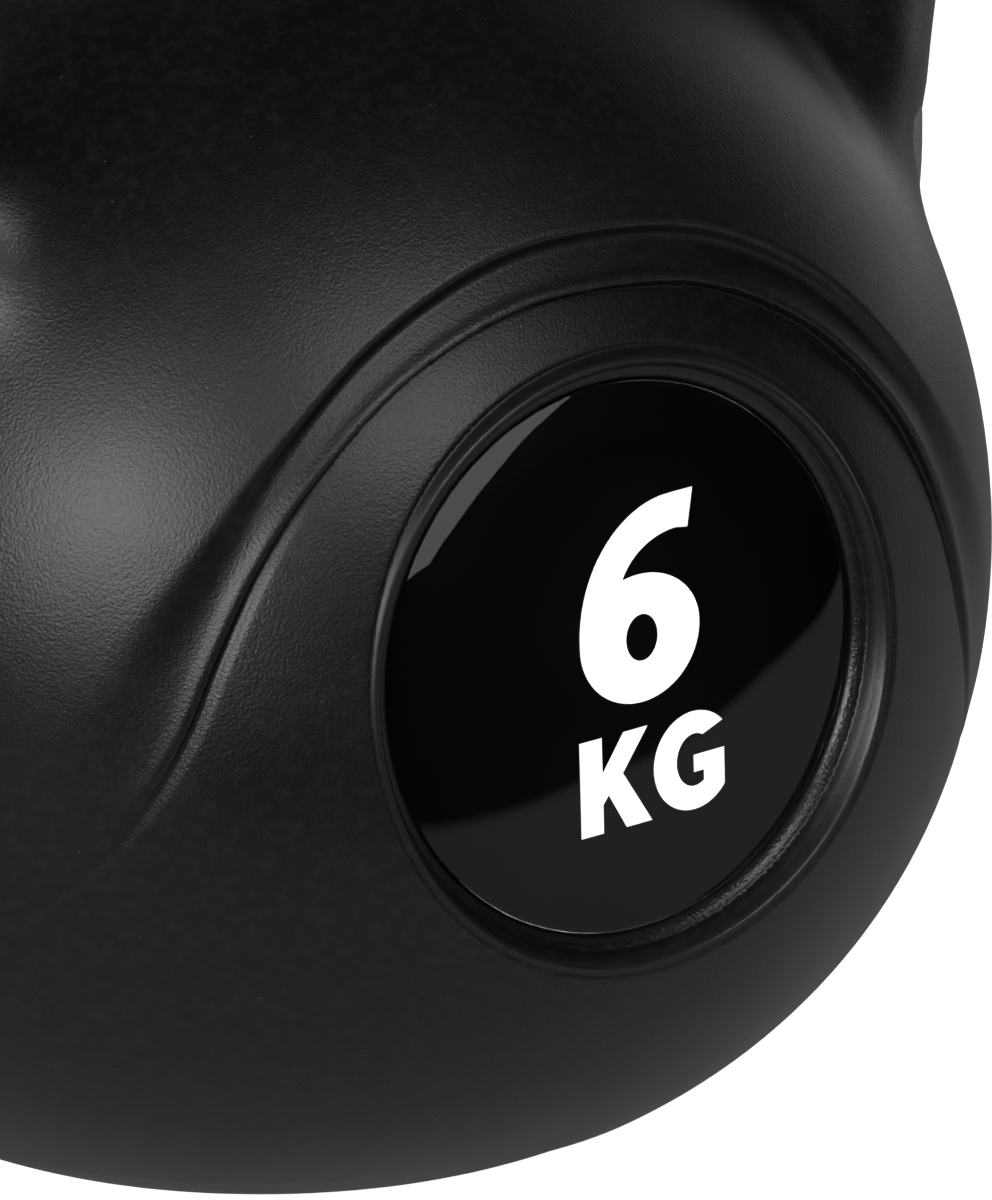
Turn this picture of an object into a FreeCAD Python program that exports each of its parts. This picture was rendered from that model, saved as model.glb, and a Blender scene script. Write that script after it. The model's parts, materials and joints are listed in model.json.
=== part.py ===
"""Cement-filled kettlebell: a blow-moulded casing with a round label let into its front and rear.

Millimetres, +Z up, the front label faces -Y, the handle spans X. The origin is
the centre of the flat base, on the floor.
"""
import FreeCAD
import Part
import math
import os

V = FreeCAD.Vector

# ---------------------------------------------------------------- sizes (mm)
cup_radius = 86.0            # lower half of the bell, at its equator
cup_center_height = 66.0
cup_arc_radius = 69.2        # the lower half is a slightly squat barrel arc
upper_radius = 87.05         # upper half of the bell, stands a little proud
upper_center_height = 71.6
wall = 2.8                   # casing wall thickness
foot_line_height = 5.9       # a fine step runs round the foot here
foot_step = 0.35
foot_round = 5.2             # rounding between the foot and the flat base
base_recess_radius = 31.0
base_recess_depth = 1.6

filler_hole_radius = 14.0
plug_head_radius = 17.0
plug_head_thickness = 1.4
plug_depth = 11.0

label_center_height = 71.9
label_plane_distance = 77.15  # rim of the label seat, from the vertical axis
label_tilt = 1.5              # degrees, the labels look very slightly upward
seat_rim_radius = 36.2
seat_bead_radius = 33.8
seat_bead_depth = 1.27
seat_ledge_depth = 2.35
seat_floor_depth = 3.5
seat_wall_radius = 32.4
label_radius = 32.1
label_film_thickness = 0.3
dome_edge_thickness = 0.8
dome_crown = 1.8

rod_radius = 4.0              # steel rod cast into the handle

# The wave: height of the shoulder's lower edge against distance from the middle,
# seen from the front.  It arches over the label and dips low at the sides.
wave_inner = [(0.0, 114.5), (14.0, 112.9), (27.7, 106.7), (38.5, 97.5), (45.5, 88.5),
              (50.5, 78.5), (54.0, 69.0), (57.6, 60.5), (61.5, 53.0), (66.5, 46.2),
              (74.0, 40.6), (84.0, 38.0), (98.0, 38.0)]
# How far the edge climbs between the cup and the proud shoulder, on the same stations.
wave_ramp = [7.5, 7.4, 7.6, 8.4, 7.6, 4.4, 2.2, 1.6, 1.4, 1.4, 1.4, 1.4, 1.4]

# Handle centreline on the +X side: x, height, half thickness in the handle's plane,
# half width front to back.  The horns flare where they run into the bell.
handle_stations = [
    (55.8, 86.0, 24.4, 46.0), (56.0, 96.0, 24.5, 48.0), (57.8, 108.5, 23.8, 47.0),
    (62.4, 119.0, 22.4, 43.5), (67.2, 129.0, 20.6, 37.0), (72.6, 139.0, 19.0, 28.8),
    (77.2, 150.0, 18.0, 23.2), (79.4, 163.0, 17.2, 20.0), (79.6, 176.0, 16.8, 17.8),
    (76.8, 191.0, 16.6, 16.9), (69.5, 206.5, 16.5, 16.6), (57.5, 218.0, 16.5, 16.5),
    (42.0, 223.2, 16.5, 16.5), (22.0, 224.0, 16.5, 16.5), (0.0, 224.0, 16.5, 16.5)]


# ------------------------------------------------------------------- helpers
def spline(points):
    curve = Part.BSplineCurve()
    curve.interpolate([V(*p) for p in points])
    return curve


def revolve(edges, axis_point=V(0, 0, 0), axis=V(0, 0, 1)):
    face = Part.Face(Part.Wire(edges))
    return face.revolve(axis_point, axis, 360)


def polygon_edges(points):
    return [Part.makeLine(V(*a), V(*b)) for a, b in zip(points, points[1:])]


def centreline():
    """Centre points of the whole handle, from the -X root over the top to the +X root."""
    right = [(x, z) for x, z, _, _ in handle_stations]
    left = [(-x, z) for x, z in right[:-1]]
    return left + right[::-1]


def handle_sections(shrink):
    """Elliptical outlines across the handle, each square to the centreline."""
    sizes = [(t, w) for _, _, t, w in handle_stations]
    sizes = sizes[:-1] + sizes[::-1]
    centres = centreline()
    curve = spline([(x, 0, z) for x, z in centres])
    for (x, z), (thick, wide) in zip(centres, sizes):
        tangent = curve.tangent(curve.parameter(V(x, 0, z)))[0]
        across = V(0, 1, 0)
        outward = tangent.cross(across)
        yield V(x, 0, z), outward, across, thick - shrink, wide - shrink


def handle_solid(shrink=0.0, round_radius=None):
    wires = []
    for centre, outward, across, thick, wide in handle_sections(shrink):
        if round_radius:
            thick = wide = round_radius
        ring = Part.BSplineCurve()
        count = 24
        ring.interpolate([centre + outward * (thick * math.cos(2 * math.pi * i / count))
                          + across * (wide * math.sin(2 * math.pi * i / count))
                          for i in range(count)], PeriodicFlag=True)
        wires.append(Part.Wire(ring.toShape()))
    return Part.makeLoft(wires, True, False)


def cup_solid(inset=0.0):
    """Lower half of the bell down to its flat base, closed by a spherical upper half."""
    zc = cup_center_height
    cx = cup_radius - cup_arc_radius
    r = cup_radius - inset
    side_r = cup_arc_radius - inset
    foot_r = side_r - foot_step
    step_angle = math.asin((zc - foot_line_height) / cup_arc_radius)
    # The foot's arc hands over to the rounding where both share a tangent.
    drop = zc - inset - foot_round
    end_angle = math.asin(drop / (foot_r - foot_round))
    flat_r = cx + drop / math.tan(end_angle)

    def on(radius, angle):
        return V(cx + radius * math.cos(angle), 0, zc - radius * math.sin(angle))

    def arc(radius, start, end):
        return Part.Arc(on(radius, start), on(radius, (start + end) / 2),
                        on(radius, end)).toShape()

    lean = (end_angle + math.pi / 2) / 2
    rounding = Part.Arc(on(foot_r, end_angle),
                        V(flat_r + foot_round * math.cos(lean), 0,
                          inset + foot_round - foot_round * math.sin(lean)),
                        V(flat_r, 0, inset)).toShape()
    top = Part.Arc(V(0, 0, zc + r), V(r * math.sqrt(0.5), 0, zc + r * math.sqrt(0.5)),
                   V(r, 0, zc)).toShape()
    step = Part.makeLine(on(side_r, step_angle), on(foot_r, step_angle))
    lift = inset + base_recess_depth
    recess_r = base_recess_radius - (0.8 if inset else 0.0)
    floor = polygon_edges([(flat_r, 0, inset), (recess_r, 0, inset), (recess_r - 2.0, 0, lift),
                           (0, 0, lift), (0, 0, zc + r)])
    return revolve([top, arc(side_r, 0.0, step_angle), step,
                    arc(foot_r, step_angle, end_angle), rounding] + floor)


def wave_prism(inset=0.0):
    """Everything above the wave, ramped so the shoulder steps down to the cup."""
    inner_depth, outer_depth, reach = 66.0 - inset, 76.0 - inset, 100.0
    rise = 1.03

    def outline(y, lift):
        half = [(x, z + inset + lift * ramp) for (x, z), ramp in zip(wave_inner, wave_ramp)]
        points = [(-x, y, z) for x, z in half[:0:-1]] + [(x, y, z) for x, z in half]
        edge = spline(points).toShape()
        corners = [(half[-1][0], y, half[-1][1]), (half[-1][0], y, 200.0),
                   (-half[-1][0], y, 200.0), (-half[-1][0], y, half[-1][1])]
        return Part.Wire([edge] + polygon_edges(corners))

    middle = Part.Face(outline(-inner_depth, 0.0)).extrude(V(0, 2 * inner_depth, 0))
    pieces = [middle]
    for side in (-1, 1):
        near = outline(side * inner_depth, 0.0)
        far = outline(side * outer_depth, rise)
        pieces.append(Part.makeLoft([near, far], True, True))
        pieces.append(Part.Face(far).extrude(V(0, side * (reach - outer_depth), 0)))
    whole = pieces[0]
    for piece in pieces[1:]:
        whole = whole.fuse(piece)
    return whole


def shoulder_solid(inset=0.0):
    ball = Part.makeSphere(upper_radius - inset, V(0, 0, upper_center_height))
    return ball.common(wave_prism(inset))


# ------------------------------------------------- the label seats, front and rear
def seat_placement(side):
    """Puts a part drawn round +Z at the origin onto the front (-1) or rear (+1) label."""
    tilt = math.radians(label_tilt)
    normal = V(0, side * math.cos(tilt), math.sin(tilt))
    centre = V(0, side * label_plane_distance, label_center_height)
    return FreeCAD.Placement(centre, FreeCAD.Rotation(V(0, 0, 1), normal))


def seat_cutter():
    """The recess: a rounded bead, a sloping ledge, then a straight wall to the floor."""
    bead = Part.Arc(V(seat_rim_radius, 0, 0),
                    V(seat_rim_radius - 0.75, 0, -0.15),
                    V(seat_bead_radius, 0, -seat_bead_depth)).toShape()
    edges = [bead] + polygon_edges([
        (seat_bead_radius, 0, -seat_bead_depth), (seat_wall_radius, 0, -seat_ledge_depth),
        (seat_wall_radius, 0, -seat_floor_depth), (0, 0, -seat_floor_depth),
        (0, 0, 14.0), (seat_rim_radius, 0, 14.0), (seat_rim_radius, 0, 0)])
    return revolve(edges)


def seat_boss():
    """Carries the rim of the seat where the bell's curve falls behind it."""
    return Part.makeCylinder(seat_rim_radius + 0.9, 12.0, V(0, 0, -11.6))


def film_solid():
    return Part.makeCylinder(label_radius, label_film_thickness, V(0, 0, -seat_floor_depth))


def dome_solid():
    bottom = -seat_floor_depth + label_film_thickness
    edge = bottom + dome_edge_thickness
    sphere_r = (label_radius ** 2 + dome_crown ** 2) / (2 * dome_crown)
    half = math.asin(label_radius / sphere_r) / 2
    cap = Part.Arc(V(label_radius, 0, edge),
                   V(sphere_r * math.sin(half), 0,
                     edge + dome_crown - sphere_r * (1 - math.cos(half))),
                   V(0, 0, edge + dome_crown)).toShape()
    edges = [cap] + polygon_edges([(0, 0, edge + dome_crown), (0, 0, bottom),
                                   (label_radius, 0, bottom), (label_radius, 0, edge)])
    return revolve(edges)


# --------------------------------------------------------------- filler plug
def plug_solid():
    z0 = base_recess_depth - plug_head_thickness + 0.2
    top = z0 + plug_head_thickness
    r = filler_hole_radius
    return revolve(polygon_edges([
        (0, 0, z0), (plug_head_radius - 0.5, 0, z0), (plug_head_radius, 0, z0 + 0.5),
        (plug_head_radius, 0, top), (r - 0.15, 0, top), (r - 0.15, 0, top + wall),
        (r + 0.9, 0, top + wall + 0.9), (r - 1.0, 0, plug_depth), (r - 3.0, 0, plug_depth),
        (r - 3.0, 0, top + 1.0), (0, 0, top + 1.0), (0, 0, z0)]))


def moved(shape, side):
    copy = shape.copy()
    copy.Placement = seat_placement(side)
    return copy


# ------------------------------------------------------------------ assembly
outer = cup_solid().fuse(shoulder_solid()).fuse(handle_solid())
for side in (-1, 1):
    outer = outer.fuse(moved(seat_boss(), side)).cut(moved(seat_cutter(), side))

core = cup_solid(wall).fuse(shoulder_solid(wall)).fuse(handle_solid(wall))
for side in (-1, 1):
    block = Part.makeBox(120, 120, 60, V(-60, -60, -seat_floor_depth - wall))
    core = core.cut(moved(block, side))

plug = plug_solid()
plug_room = Part.makeCylinder(filler_hole_radius + 0.9, plug_depth + 0.5 - wall, V(0, 0, wall))
hole = Part.makeCylinder(filler_hole_radius, 12.0, V(0, 0, -1))

shell = outer.cut(core).cut(hole)
rod = handle_solid(round_radius=rod_radius)
fill = core.cut(rod).cut(plug).removeSplitter()

solids = {
    "shell": shell,
    "concrete_fill": fill,
    "handle_rod": rod,
    "filler_plug": plug,
    "front_label": moved(film_solid(), -1),
    "front_label_dome": moved(dome_solid(), -1),
    "rear_label": moved(film_solid(), 1),
    "rear_label_dome": moved(dome_solid(), 1),
}

os.makedirs("parts", exist_ok=True)
for name, shape in solids.items():
    print(name, "valid", shape.isValid(), "solids", len(shape.Solids),
          "volume %.1f cm3" % (shape.Volume / 1000.0), shape.BoundBox)
    shape.exportStep("parts/" + name + ".step")
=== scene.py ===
"""Cement-filled kettlebell: the moulded casing, its domed labels and the filler plug.

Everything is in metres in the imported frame: the base rests on z = 0, the front
label faces -Y and the handle spans X.
"""
import json
import math

import bmesh
import bpy
import numpy as np
from mathutils import Matrix, Quaternion, Vector

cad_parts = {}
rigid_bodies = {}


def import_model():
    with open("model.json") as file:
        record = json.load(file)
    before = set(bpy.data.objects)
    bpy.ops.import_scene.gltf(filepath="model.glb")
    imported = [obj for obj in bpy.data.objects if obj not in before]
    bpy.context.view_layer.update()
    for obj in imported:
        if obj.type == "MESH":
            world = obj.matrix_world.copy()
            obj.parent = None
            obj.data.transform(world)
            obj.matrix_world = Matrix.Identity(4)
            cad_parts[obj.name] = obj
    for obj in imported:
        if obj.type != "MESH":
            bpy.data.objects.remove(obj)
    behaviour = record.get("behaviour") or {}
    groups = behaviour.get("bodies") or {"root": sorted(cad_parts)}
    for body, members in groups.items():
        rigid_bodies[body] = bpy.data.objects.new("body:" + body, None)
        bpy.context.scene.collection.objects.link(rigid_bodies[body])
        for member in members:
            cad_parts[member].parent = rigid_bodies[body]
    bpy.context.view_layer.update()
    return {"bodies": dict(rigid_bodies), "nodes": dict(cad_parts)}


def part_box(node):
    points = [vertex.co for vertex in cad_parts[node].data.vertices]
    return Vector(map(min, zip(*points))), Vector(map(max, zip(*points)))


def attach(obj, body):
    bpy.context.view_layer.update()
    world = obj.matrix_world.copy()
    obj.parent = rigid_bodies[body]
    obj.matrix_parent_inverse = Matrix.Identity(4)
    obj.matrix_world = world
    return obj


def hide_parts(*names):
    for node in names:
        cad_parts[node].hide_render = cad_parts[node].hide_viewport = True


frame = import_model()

BODY = sorted(frame["bodies"])[0]
MM = 0.001

bl_info = {
    "name": "Kettlebell",
    "version": (1, 0, 0),
    "blender": (4, 5, 0),
    "location": "View3D > Sidebar > Kettlebell",
    "description": "Builds a plastic-cased, cement-filled kettlebell with domed weight labels",
    "category": "Add Mesh",
}

# Lower edge of the shoulder on the front of the bell: distance from the middle, height,
# distance from the edge to where the shoulder is at its full size, and how much of that
# is the soft slope down from it.
SHOULDER_EDGE = np.array([
    (-14.0, 112.9, 7.4, 3.2), (0.0, 114.5, 7.6, 3.2), (14.0, 112.9, 7.4, 3.2),
    (27.7, 106.7, 6.8, 3.0), (38.5, 97.5, 6.4, 3.2), (45.5, 88.5, 7.2, 5.0),
    (50.5, 78.5, 9.6, 8.0), (54.0, 69.0, 11.0, 9.8), (57.6, 60.5, 10.5, 9.6),
    (61.5, 53.0, 8.0, 7.4), (66.5, 46.2, 5.0, 4.6), (74.0, 40.6, 3.2, 2.8),
    (84.0, 38.0, 2.2, 1.9), (98.0, 37.5, 2.0, 1.8), (112.0, 37.5, 2.0, 1.8)]) * MM

# Handle centreline: distance from the middle, height, half thickness, half width.
HANDLE_LINE = np.array([
    (52.0, 30.0, 14.0, 24.0), (54.5, 48.0, 18.5, 32.0), (55.5, 66.0, 22.5, 40.0),
    (54.0, 82.0, 24.2, 45.5), (53.4, 96.0, 24.0, 47.5), (54.4, 108.5, 23.0, 46.0),
    (59.4, 119.0, 21.8, 42.5), (66.2, 129.0, 20.4, 36.4), (72.6, 139.0, 19.0, 28.8),
    (77.2, 150.0, 18.0, 23.2), (79.4, 163.0, 17.2, 20.0), (79.6, 176.0, 16.8, 17.8),
    (76.8, 191.0, 16.6, 16.9), (69.5, 206.5, 16.5, 16.6), (57.5, 218.0, 16.5, 16.5),
    (42.0, 223.2, 16.5, 16.5), (22.0, 224.0, 16.5, 16.5), (0.0, 224.0, 16.5, 16.5),
    (-22.0, 224.0, 16.5, 16.5)]) * MM

# Label seat, from its rim inwards: radius and depth behind the rim.
SEAT_PROFILE = np.array([
    (60.0, 0.30), (35.70, 0.30), (35.20, 0.30), (34.75, 0.12), (34.35, -0.30),
    (34.02, -0.88), (33.82, -1.42), (33.62, -1.50), (33.30, -1.62), (32.80, -1.98),
    (32.45, -2.34), (32.32, -2.60), (32.24, -3.30), (32.0, -3.46), (30.0, -3.46),
    (0.0, -3.46)]) * MM

# Crisp lip at the shoulder's lower edge: its share of the whole step high on the bell,
# how much smaller that share is low on the bell, and the distance that it rises over.
LIP_SHARE, LIP_SHARE_LOSS, LIP_RUN = 0.46, 0.16, 0.0011

# Fine groove below the lip and fine ridge on it: distance above the edge, half width.
GROOVE_AT, GROOVE_HALF_WIDTH = -0.0007, 0.00055
RIDGE_AT, RIDGE_HALF_WIDTH, RIDGE_HEIGHT = 0.0010, 0.0007, 0.00022

# Line that the mould's label insert leaves on a seat's rim, as depth and half width, and
# the softer dip inside it, as distance inwards, depth and half width.
RIM_LINE_DEPTH, RIM_LINE_HALF_WIDTH = 0.00026, 0.00034
RIM_DIP_IN, RIM_DIP_DEPTH, RIM_DIP_HALF_WIDTH = 0.00035, 0.00012, 0.0005

# How much the casing is drawn in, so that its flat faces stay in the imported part's box.
DRAWN_IN = (0.9993, 0.9993, 1.0)

# Labels: where the film lies behind the rim, its thickness and that of the print on it.
SEAT_FLOOR, FILM_THICKNESS, PRINT_THICKNESS = -0.0035, 0.0003, 0.00004

# Print: (text, height, x, y, gap), and how far the lines lean and are turned.
PRINT_LINES = [("6", 0.0234, -0.0063, -0.0056, 0.0), ("KG", 0.0112, -0.0077, -0.0197, 0.05)]
PRINT_SLANT, PRINT_TURN = 0.06, math.radians(5.0)

# Camera: where it stands, and the direction that it is seen in from the bell.
CAMERA_PLACE = (-0.63216, -0.97664, 0.35446)
CAMERA_AZIMUTH, CAMERA_ELEVATION = math.radians(-34.28), math.radians(14.06)
CAMERA_LENS, CAMERA_SENSOR = 300, 36


# ------------------------------------------------------------------ sizes and colours
class KettlebellSizes(bpy.types.PropertyGroup):
    """Sizes that a maker would change."""
    cup_radius: bpy.props.FloatProperty(
        name="Bell radius", description="Radius of the lower half at its equator",
        default=0.086, unit="LENGTH")
    cup_arc: bpy.props.FloatProperty(
        name="Cup arc", description="Radius of the lower half's side, seen in profile",
        default=0.0692, unit="LENGTH")
    cup_height: bpy.props.FloatProperty(
        name="Equator height", description="Height of the lower half's equator",
        default=0.066, unit="LENGTH")
    shoulder_radius: bpy.props.FloatProperty(
        name="Shoulder radius", description="Radius of the upper half",
        default=0.08705, unit="LENGTH")
    shoulder_height: bpy.props.FloatProperty(
        name="Shoulder centre", description="Height of the upper half's centre",
        default=0.0716, unit="LENGTH")
    horn_blend: bpy.props.FloatProperty(
        name="Horn blend", description="How softly the handle runs into the bell",
        default=0.008, unit="LENGTH")
    foot_round: bpy.props.FloatProperty(
        name="Foot rounding", description="Softness of the edge round the flat base",
        default=0.0016, unit="LENGTH")
    foot_line: bpy.props.FloatProperty(
        name="Foot line", description="Height of the fine step round the foot",
        default=0.0059, unit="LENGTH")
    recess_radius: bpy.props.FloatProperty(
        name="Base recess", description="Radius of the shallow recess under the base",
        default=0.031, unit="LENGTH")
    recess_depth: bpy.props.FloatProperty(
        name="Recess depth", description="Depth of the recess under the base",
        default=0.0016, unit="LENGTH")
    label_height: bpy.props.FloatProperty(
        name="Label height", description="Height of the labels' centres",
        default=0.0719, unit="LENGTH")
    label_reach: bpy.props.FloatProperty(
        name="Label reach", description="Distance of the seat rims from the bell's axis",
        default=0.07715, unit="LENGTH")
    label_tilt: bpy.props.FloatProperty(
        name="Label tilt", description="How far the labels look upward",
        default=math.radians(1.5), subtype="ANGLE")
    seat_rim: bpy.props.FloatProperty(
        name="Seat rim", description="Radius of a label seat's rim",
        default=0.0362, unit="LENGTH")
    label_radius: bpy.props.FloatProperty(
        name="Label radius", description="Radius of a label",
        default=0.0321, unit="LENGTH")
    dome_crown: bpy.props.FloatProperty(
        name="Dome crown", description="How far a label's dome bulges",
        default=0.0018, unit="LENGTH")
    plug_radius: bpy.props.FloatProperty(
        name="Plug radius", description="Radius of the filler plug's head",
        default=0.017, unit="LENGTH")
    skin_pitch: bpy.props.FloatProperty(
        name="Skin pitch", description="Edge length of the casing's mesh away from details",
        default=0.0032, unit="LENGTH")
    detail_pitch: bpy.props.FloatProperty(
        name="Detail pitch", description="Edge length of the casing's mesh on its details",
        default=0.00036, unit="LENGTH")


class KettlebellColours(bpy.types.PropertyGroup):
    """Colours that a maker would change."""
    casing: bpy.props.FloatVectorProperty(
        name="Casing", description="Colour of the moulded casing", subtype="COLOR",
        size=4, min=0, max=1, default=(0.0046, 0.0046, 0.0047, 1))
    label: bpy.props.FloatVectorProperty(
        name="Label", description="Colour of the labels", subtype="COLOR",
        size=4, min=0, max=1, default=(0.0016, 0.0016, 0.0018, 1))
    numerals: bpy.props.FloatVectorProperty(
        name="Numerals", description="Colour of the printed weight", subtype="COLOR",
        size=4, min=0, max=1, default=(0.93, 0.93, 0.93, 1))
    floor: bpy.props.FloatVectorProperty(
        name="Floor", description="Colour of the studio floor", subtype="COLOR",
        size=4, min=0, max=1, default=(0.95, 0.95, 0.95, 1))


# ------------------------------------------------------------------------ curve helpers
def smooth_curve(points, count):
    """Evenly spaced rows along a smooth curve through the given rows."""
    p = np.asarray(points)
    rows = []
    for i in range(1, len(p) - 2):
        t = np.linspace(0, 1, 60, endpoint=i == len(p) - 3)[:, None]
        a, b, c, d = p[i - 1:i + 3]
        rows.append(0.5 * (2 * b + (c - a) * t + (2 * a - 5 * b + 4 * c - d) * t ** 2
                           + (3 * b - a - 3 * c + d) * t ** 3))
    line = np.vstack(rows)
    for _ in range(80):
        line[1:-1] = (line[:-2] + 2 * line[1:-1] + line[2:]) / 4
    run = np.r_[0, np.cumsum(np.hypot(*np.diff(line[:, :2], axis=0).T))]
    even = np.linspace(0, run[-1], count)
    return np.column_stack([np.interp(even, run, line[:, k]) for k in range(p.shape[1])])


def ease(t):
    """Smooth step from 0 to 1."""
    t = np.clip(t, 0.0, 1.0)
    return t * t * t * (t * (6 * t - 15) + 10)


# The nearest row of a curve is first looked for among every SKIP-th row, and for
# CHUNK points at a time, so that the table of distances stays small.
SKIP = 12
CHUNK = 20000


class PlaneCurve:
    """A curve in a plane that can say how far points are from it, and what it carries there."""

    def __init__(self, rows):
        self.rows = rows
        tangent = np.gradient(rows[:, :2], axis=0)
        self.step = np.hypot(*tangent.T).mean()
        self.tangent = tangent / np.hypot(*tangent.T)[:, None]

    def measure(self, a, b):
        """Signed distance (left of travel is positive) and the interpolated extra columns."""
        at = np.empty(len(a))
        coarse = self.rows[::SKIP]
        for k in range(0, len(a), CHUNK):
            near = np.s_[k:k + CHUNK]
            gap = ((a[near, None] - coarse[None, :, 0]) ** 2
                   + (b[near, None] - coarse[None, :, 1]) ** 2)
            at[near] = gap.argmin(1) * SKIP
        last = len(self.rows) - 1
        for _ in range(4):
            row, tan = self.between(self.rows, at), self.between(self.tangent, at)
            along = (a - row[:, 0]) * tan[:, 0] + (b - row[:, 1]) * tan[:, 1]
            at = np.clip(at + along / self.step, 0, last)
        row, tan = self.between(self.rows, at), self.between(self.tangent, at)
        tan = tan / np.hypot(*tan.T)[:, None]
        side = (b - row[:, 1]) * tan[:, 0] - (a - row[:, 0]) * tan[:, 1]
        return side, row[:, 2:]

    @staticmethod
    def between(table, at):
        low = np.minimum(at.astype(int), len(table) - 2)
        part = (at - low)[:, None]
        return table[low] * (1 - part) + table[low + 1] * part


def merge_softly(a, b, reach):
    """The union of two distances with a soft fillet."""
    h = np.maximum(reach - np.abs(a - b), 0.0) / reach
    return np.minimum(a, b) - h * h * h * reach / 6.0


# ------------------------------------------------------------------------- casing shape
class CasingSkin:
    """The casing's outer skin as a distance: negative inside, zero on the skin."""

    def __init__(self, sizes):
        self.s = sizes
        self.handle = PlaneCurve(smooth_curve(HANDLE_LINE, 421))
        self.edge = PlaneCurve(smooth_curve(SHOULDER_EDGE, 421))
        radius = SEAT_PROFILE[::-1, 0]
        fine = np.linspace(0, 0.05, 5001)
        depth = np.interp(fine, radius, SEAT_PROFILE[::-1, 1])
        for _ in range(60):
            depth[1:-1] = (depth[:-2] + 2 * depth[1:-1] + depth[2:]) / 4
        self.seat_table = fine, depth

    def cup(self, p):
        """The lower half: a ball on top, fuller sides below, the foot and the recess."""
        s = self.s
        r, z = np.hypot(p[:, 0], p[:, 1]), p[:, 2] - s.cup_height
        offset = s.cup_radius - s.cup_arc
        side = np.hypot(np.maximum(r - offset, 0.0), z) - s.cup_arc
        side = side + 0.00035 * ease((s.foot_line - p[:, 2]) / 0.0007)
        recess = s.recess_depth * ease((s.recess_radius - r) / 0.0025)
        lower = -merge_softly(-side, p[:, 2] - recess, s.foot_round)
        return np.where(z > 0, np.hypot(r, z) - s.cup_radius, lower)

    def shoulder(self, p):
        """The upper half, slightly larger, with the horns and the grip."""
        s = self.s
        ball = np.sqrt(p[:, 0] ** 2 + p[:, 1] ** 2
                       + (p[:, 2] - s.shoulder_height) ** 2) - s.shoulder_radius
        out, half = self.handle.measure(np.abs(p[:, 0]), p[:, 2])
        thick, wide = half[:, 0], half[:, 1]
        scaled = np.hypot(out / thick, p[:, 1] / wide)
        slope = np.hypot(out / thick ** 2, p[:, 1] / wide ** 2) / np.maximum(scaled, 1e-6)
        handle = (scaled - 1) / np.maximum(slope, 1e-3)
        return merge_softly(ball, handle, s.horn_blend)

    def edge_distance(self, p):
        """How far a point is above the shoulder's lower edge, seen from the front."""
        away, ledge = self.edge.measure(np.abs(p[:, 0]), p[:, 2])
        return away, ledge[:, 0], ledge[:, 1]

    def in_seat(self, p):
        """Radius from the nearer label's centre, and height in front of its rim."""
        s = self.s
        y, z = s.label_reach - np.abs(p[:, 1]), p[:, 2] - s.label_height
        sin, cos = math.sin(s.label_tilt), math.cos(s.label_tilt)
        return np.hypot(p[:, 0], z * cos + y * sin), z * sin - y * cos

    def bell(self, p):
        """Both halves, joined by the wave-shaped step; the label seats are not in it."""
        cup, shoulder = self.cup(p), self.shoulder(p)
        away, ledge, slope = self.edge_distance(p)
        lip = LIP_SHARE - LIP_SHARE_LOSS * ease((0.095 - p[:, 2]) / 0.02)
        rise = (lip * ease(away / LIP_RUN + 0.5)
                + (1 - lip) * ease((away - ledge + slope) / slope))
        joined = cup * (1 - rise) + shoulder * rise
        height = p[:, 2]
        depth = (0.00020 + 0.00012 * ease((height - 0.046) / 0.02)
                 - 0.00030 * ease((height - 0.084) / 0.016))
        groove = depth * np.exp(-((away - GROOVE_AT) / GROOVE_HALF_WIDTH) ** 2)
        ridge = RIDGE_HEIGHT * ease((height - 0.055) / 0.015)
        groove -= ridge * np.exp(-((away - RIDGE_AT) / RIDGE_HALF_WIDTH) ** 2)
        return joined + np.where(height > 0.02, groove, 0.0)

    def distance(self, p):
        """The whole skin: the bell with a seat sunk into its front and rear."""
        bell = self.bell(p)
        radius, front = self.in_seat(p)
        seat = front - np.interp(radius, *self.seat_table)
        rim = self.s.seat_rim
        away = ease((radius - rim + 0.0019) / 0.0018)
        ring = seat * (1 - away) + bell * away
        line = np.exp(-((radius - rim) / RIM_LINE_HALF_WIDTH) ** 2)
        dip = np.exp(-((radius - rim + RIM_DIP_IN) / RIM_DIP_HALF_WIDTH) ** 2)
        ring += RIM_LINE_DEPTH * line
        ring += RIM_DIP_DEPTH * dip
        return np.where((front > -0.02) & (radius < rim + 0.001), ring, bell)

    def slope(self, p, h=0.00003):
        """The distance's gradient, which points out of the skin."""
        corners = np.array([(1, -1, -1), (-1, -1, 1), (-1, 1, -1), (1, 1, 1)])
        return sum(np.outer(self.distance(p + c * h), c) for c in corners) / (4 * h)

    def draw_on(self, p, steps=4):
        """Moves points onto the skin."""
        for _ in range(steps):
            g = self.slope(p)
            p = p - g * (self.distance(p) / np.maximum((g * g).sum(1), 0.05))[:, None]
        return p

    def sharpness(self, p, h=0.0007):
        """How sharply the skin bends: positive on edges, negative in creases."""
        total = sum(self.distance(p + d) + self.distance(p - d) for d in np.eye(3) * h)
        return (total - 6 * self.distance(p)) / (h * h)

    def pitch(self, p):
        """Wanted mesh edge length: short near the steps, the seats and the foot line."""
        s = self.s
        away, ledge, _ = self.edge_distance(p)
        past = np.maximum(np.maximum(-away - 0.0015, away - ledge - 0.0006), 0.0)
        past = np.where(p[:, 2] > 0.03, past, 1.0)
        radius, front = self.in_seat(p)
        ring = np.maximum(np.abs(radius - 0.0344) - 0.0021, 0.0)
        ring = np.where((front > -0.012) & (front < 0.01), ring, 1.0)
        foot = np.maximum(np.abs(p[:, 2] - s.foot_line + 0.0003) - 0.0006, 0.0)
        foot = np.where(p[:, 2] < 0.02, foot + 0.0006, 1.0)
        close = np.minimum(np.minimum(past, ring), foot)
        finest = np.where(p[:, 1] < 0.01, s.detail_pitch, 2.3 * s.detail_pitch)
        return np.minimum(finest + 0.42 * close, s.skin_pitch)


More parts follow.
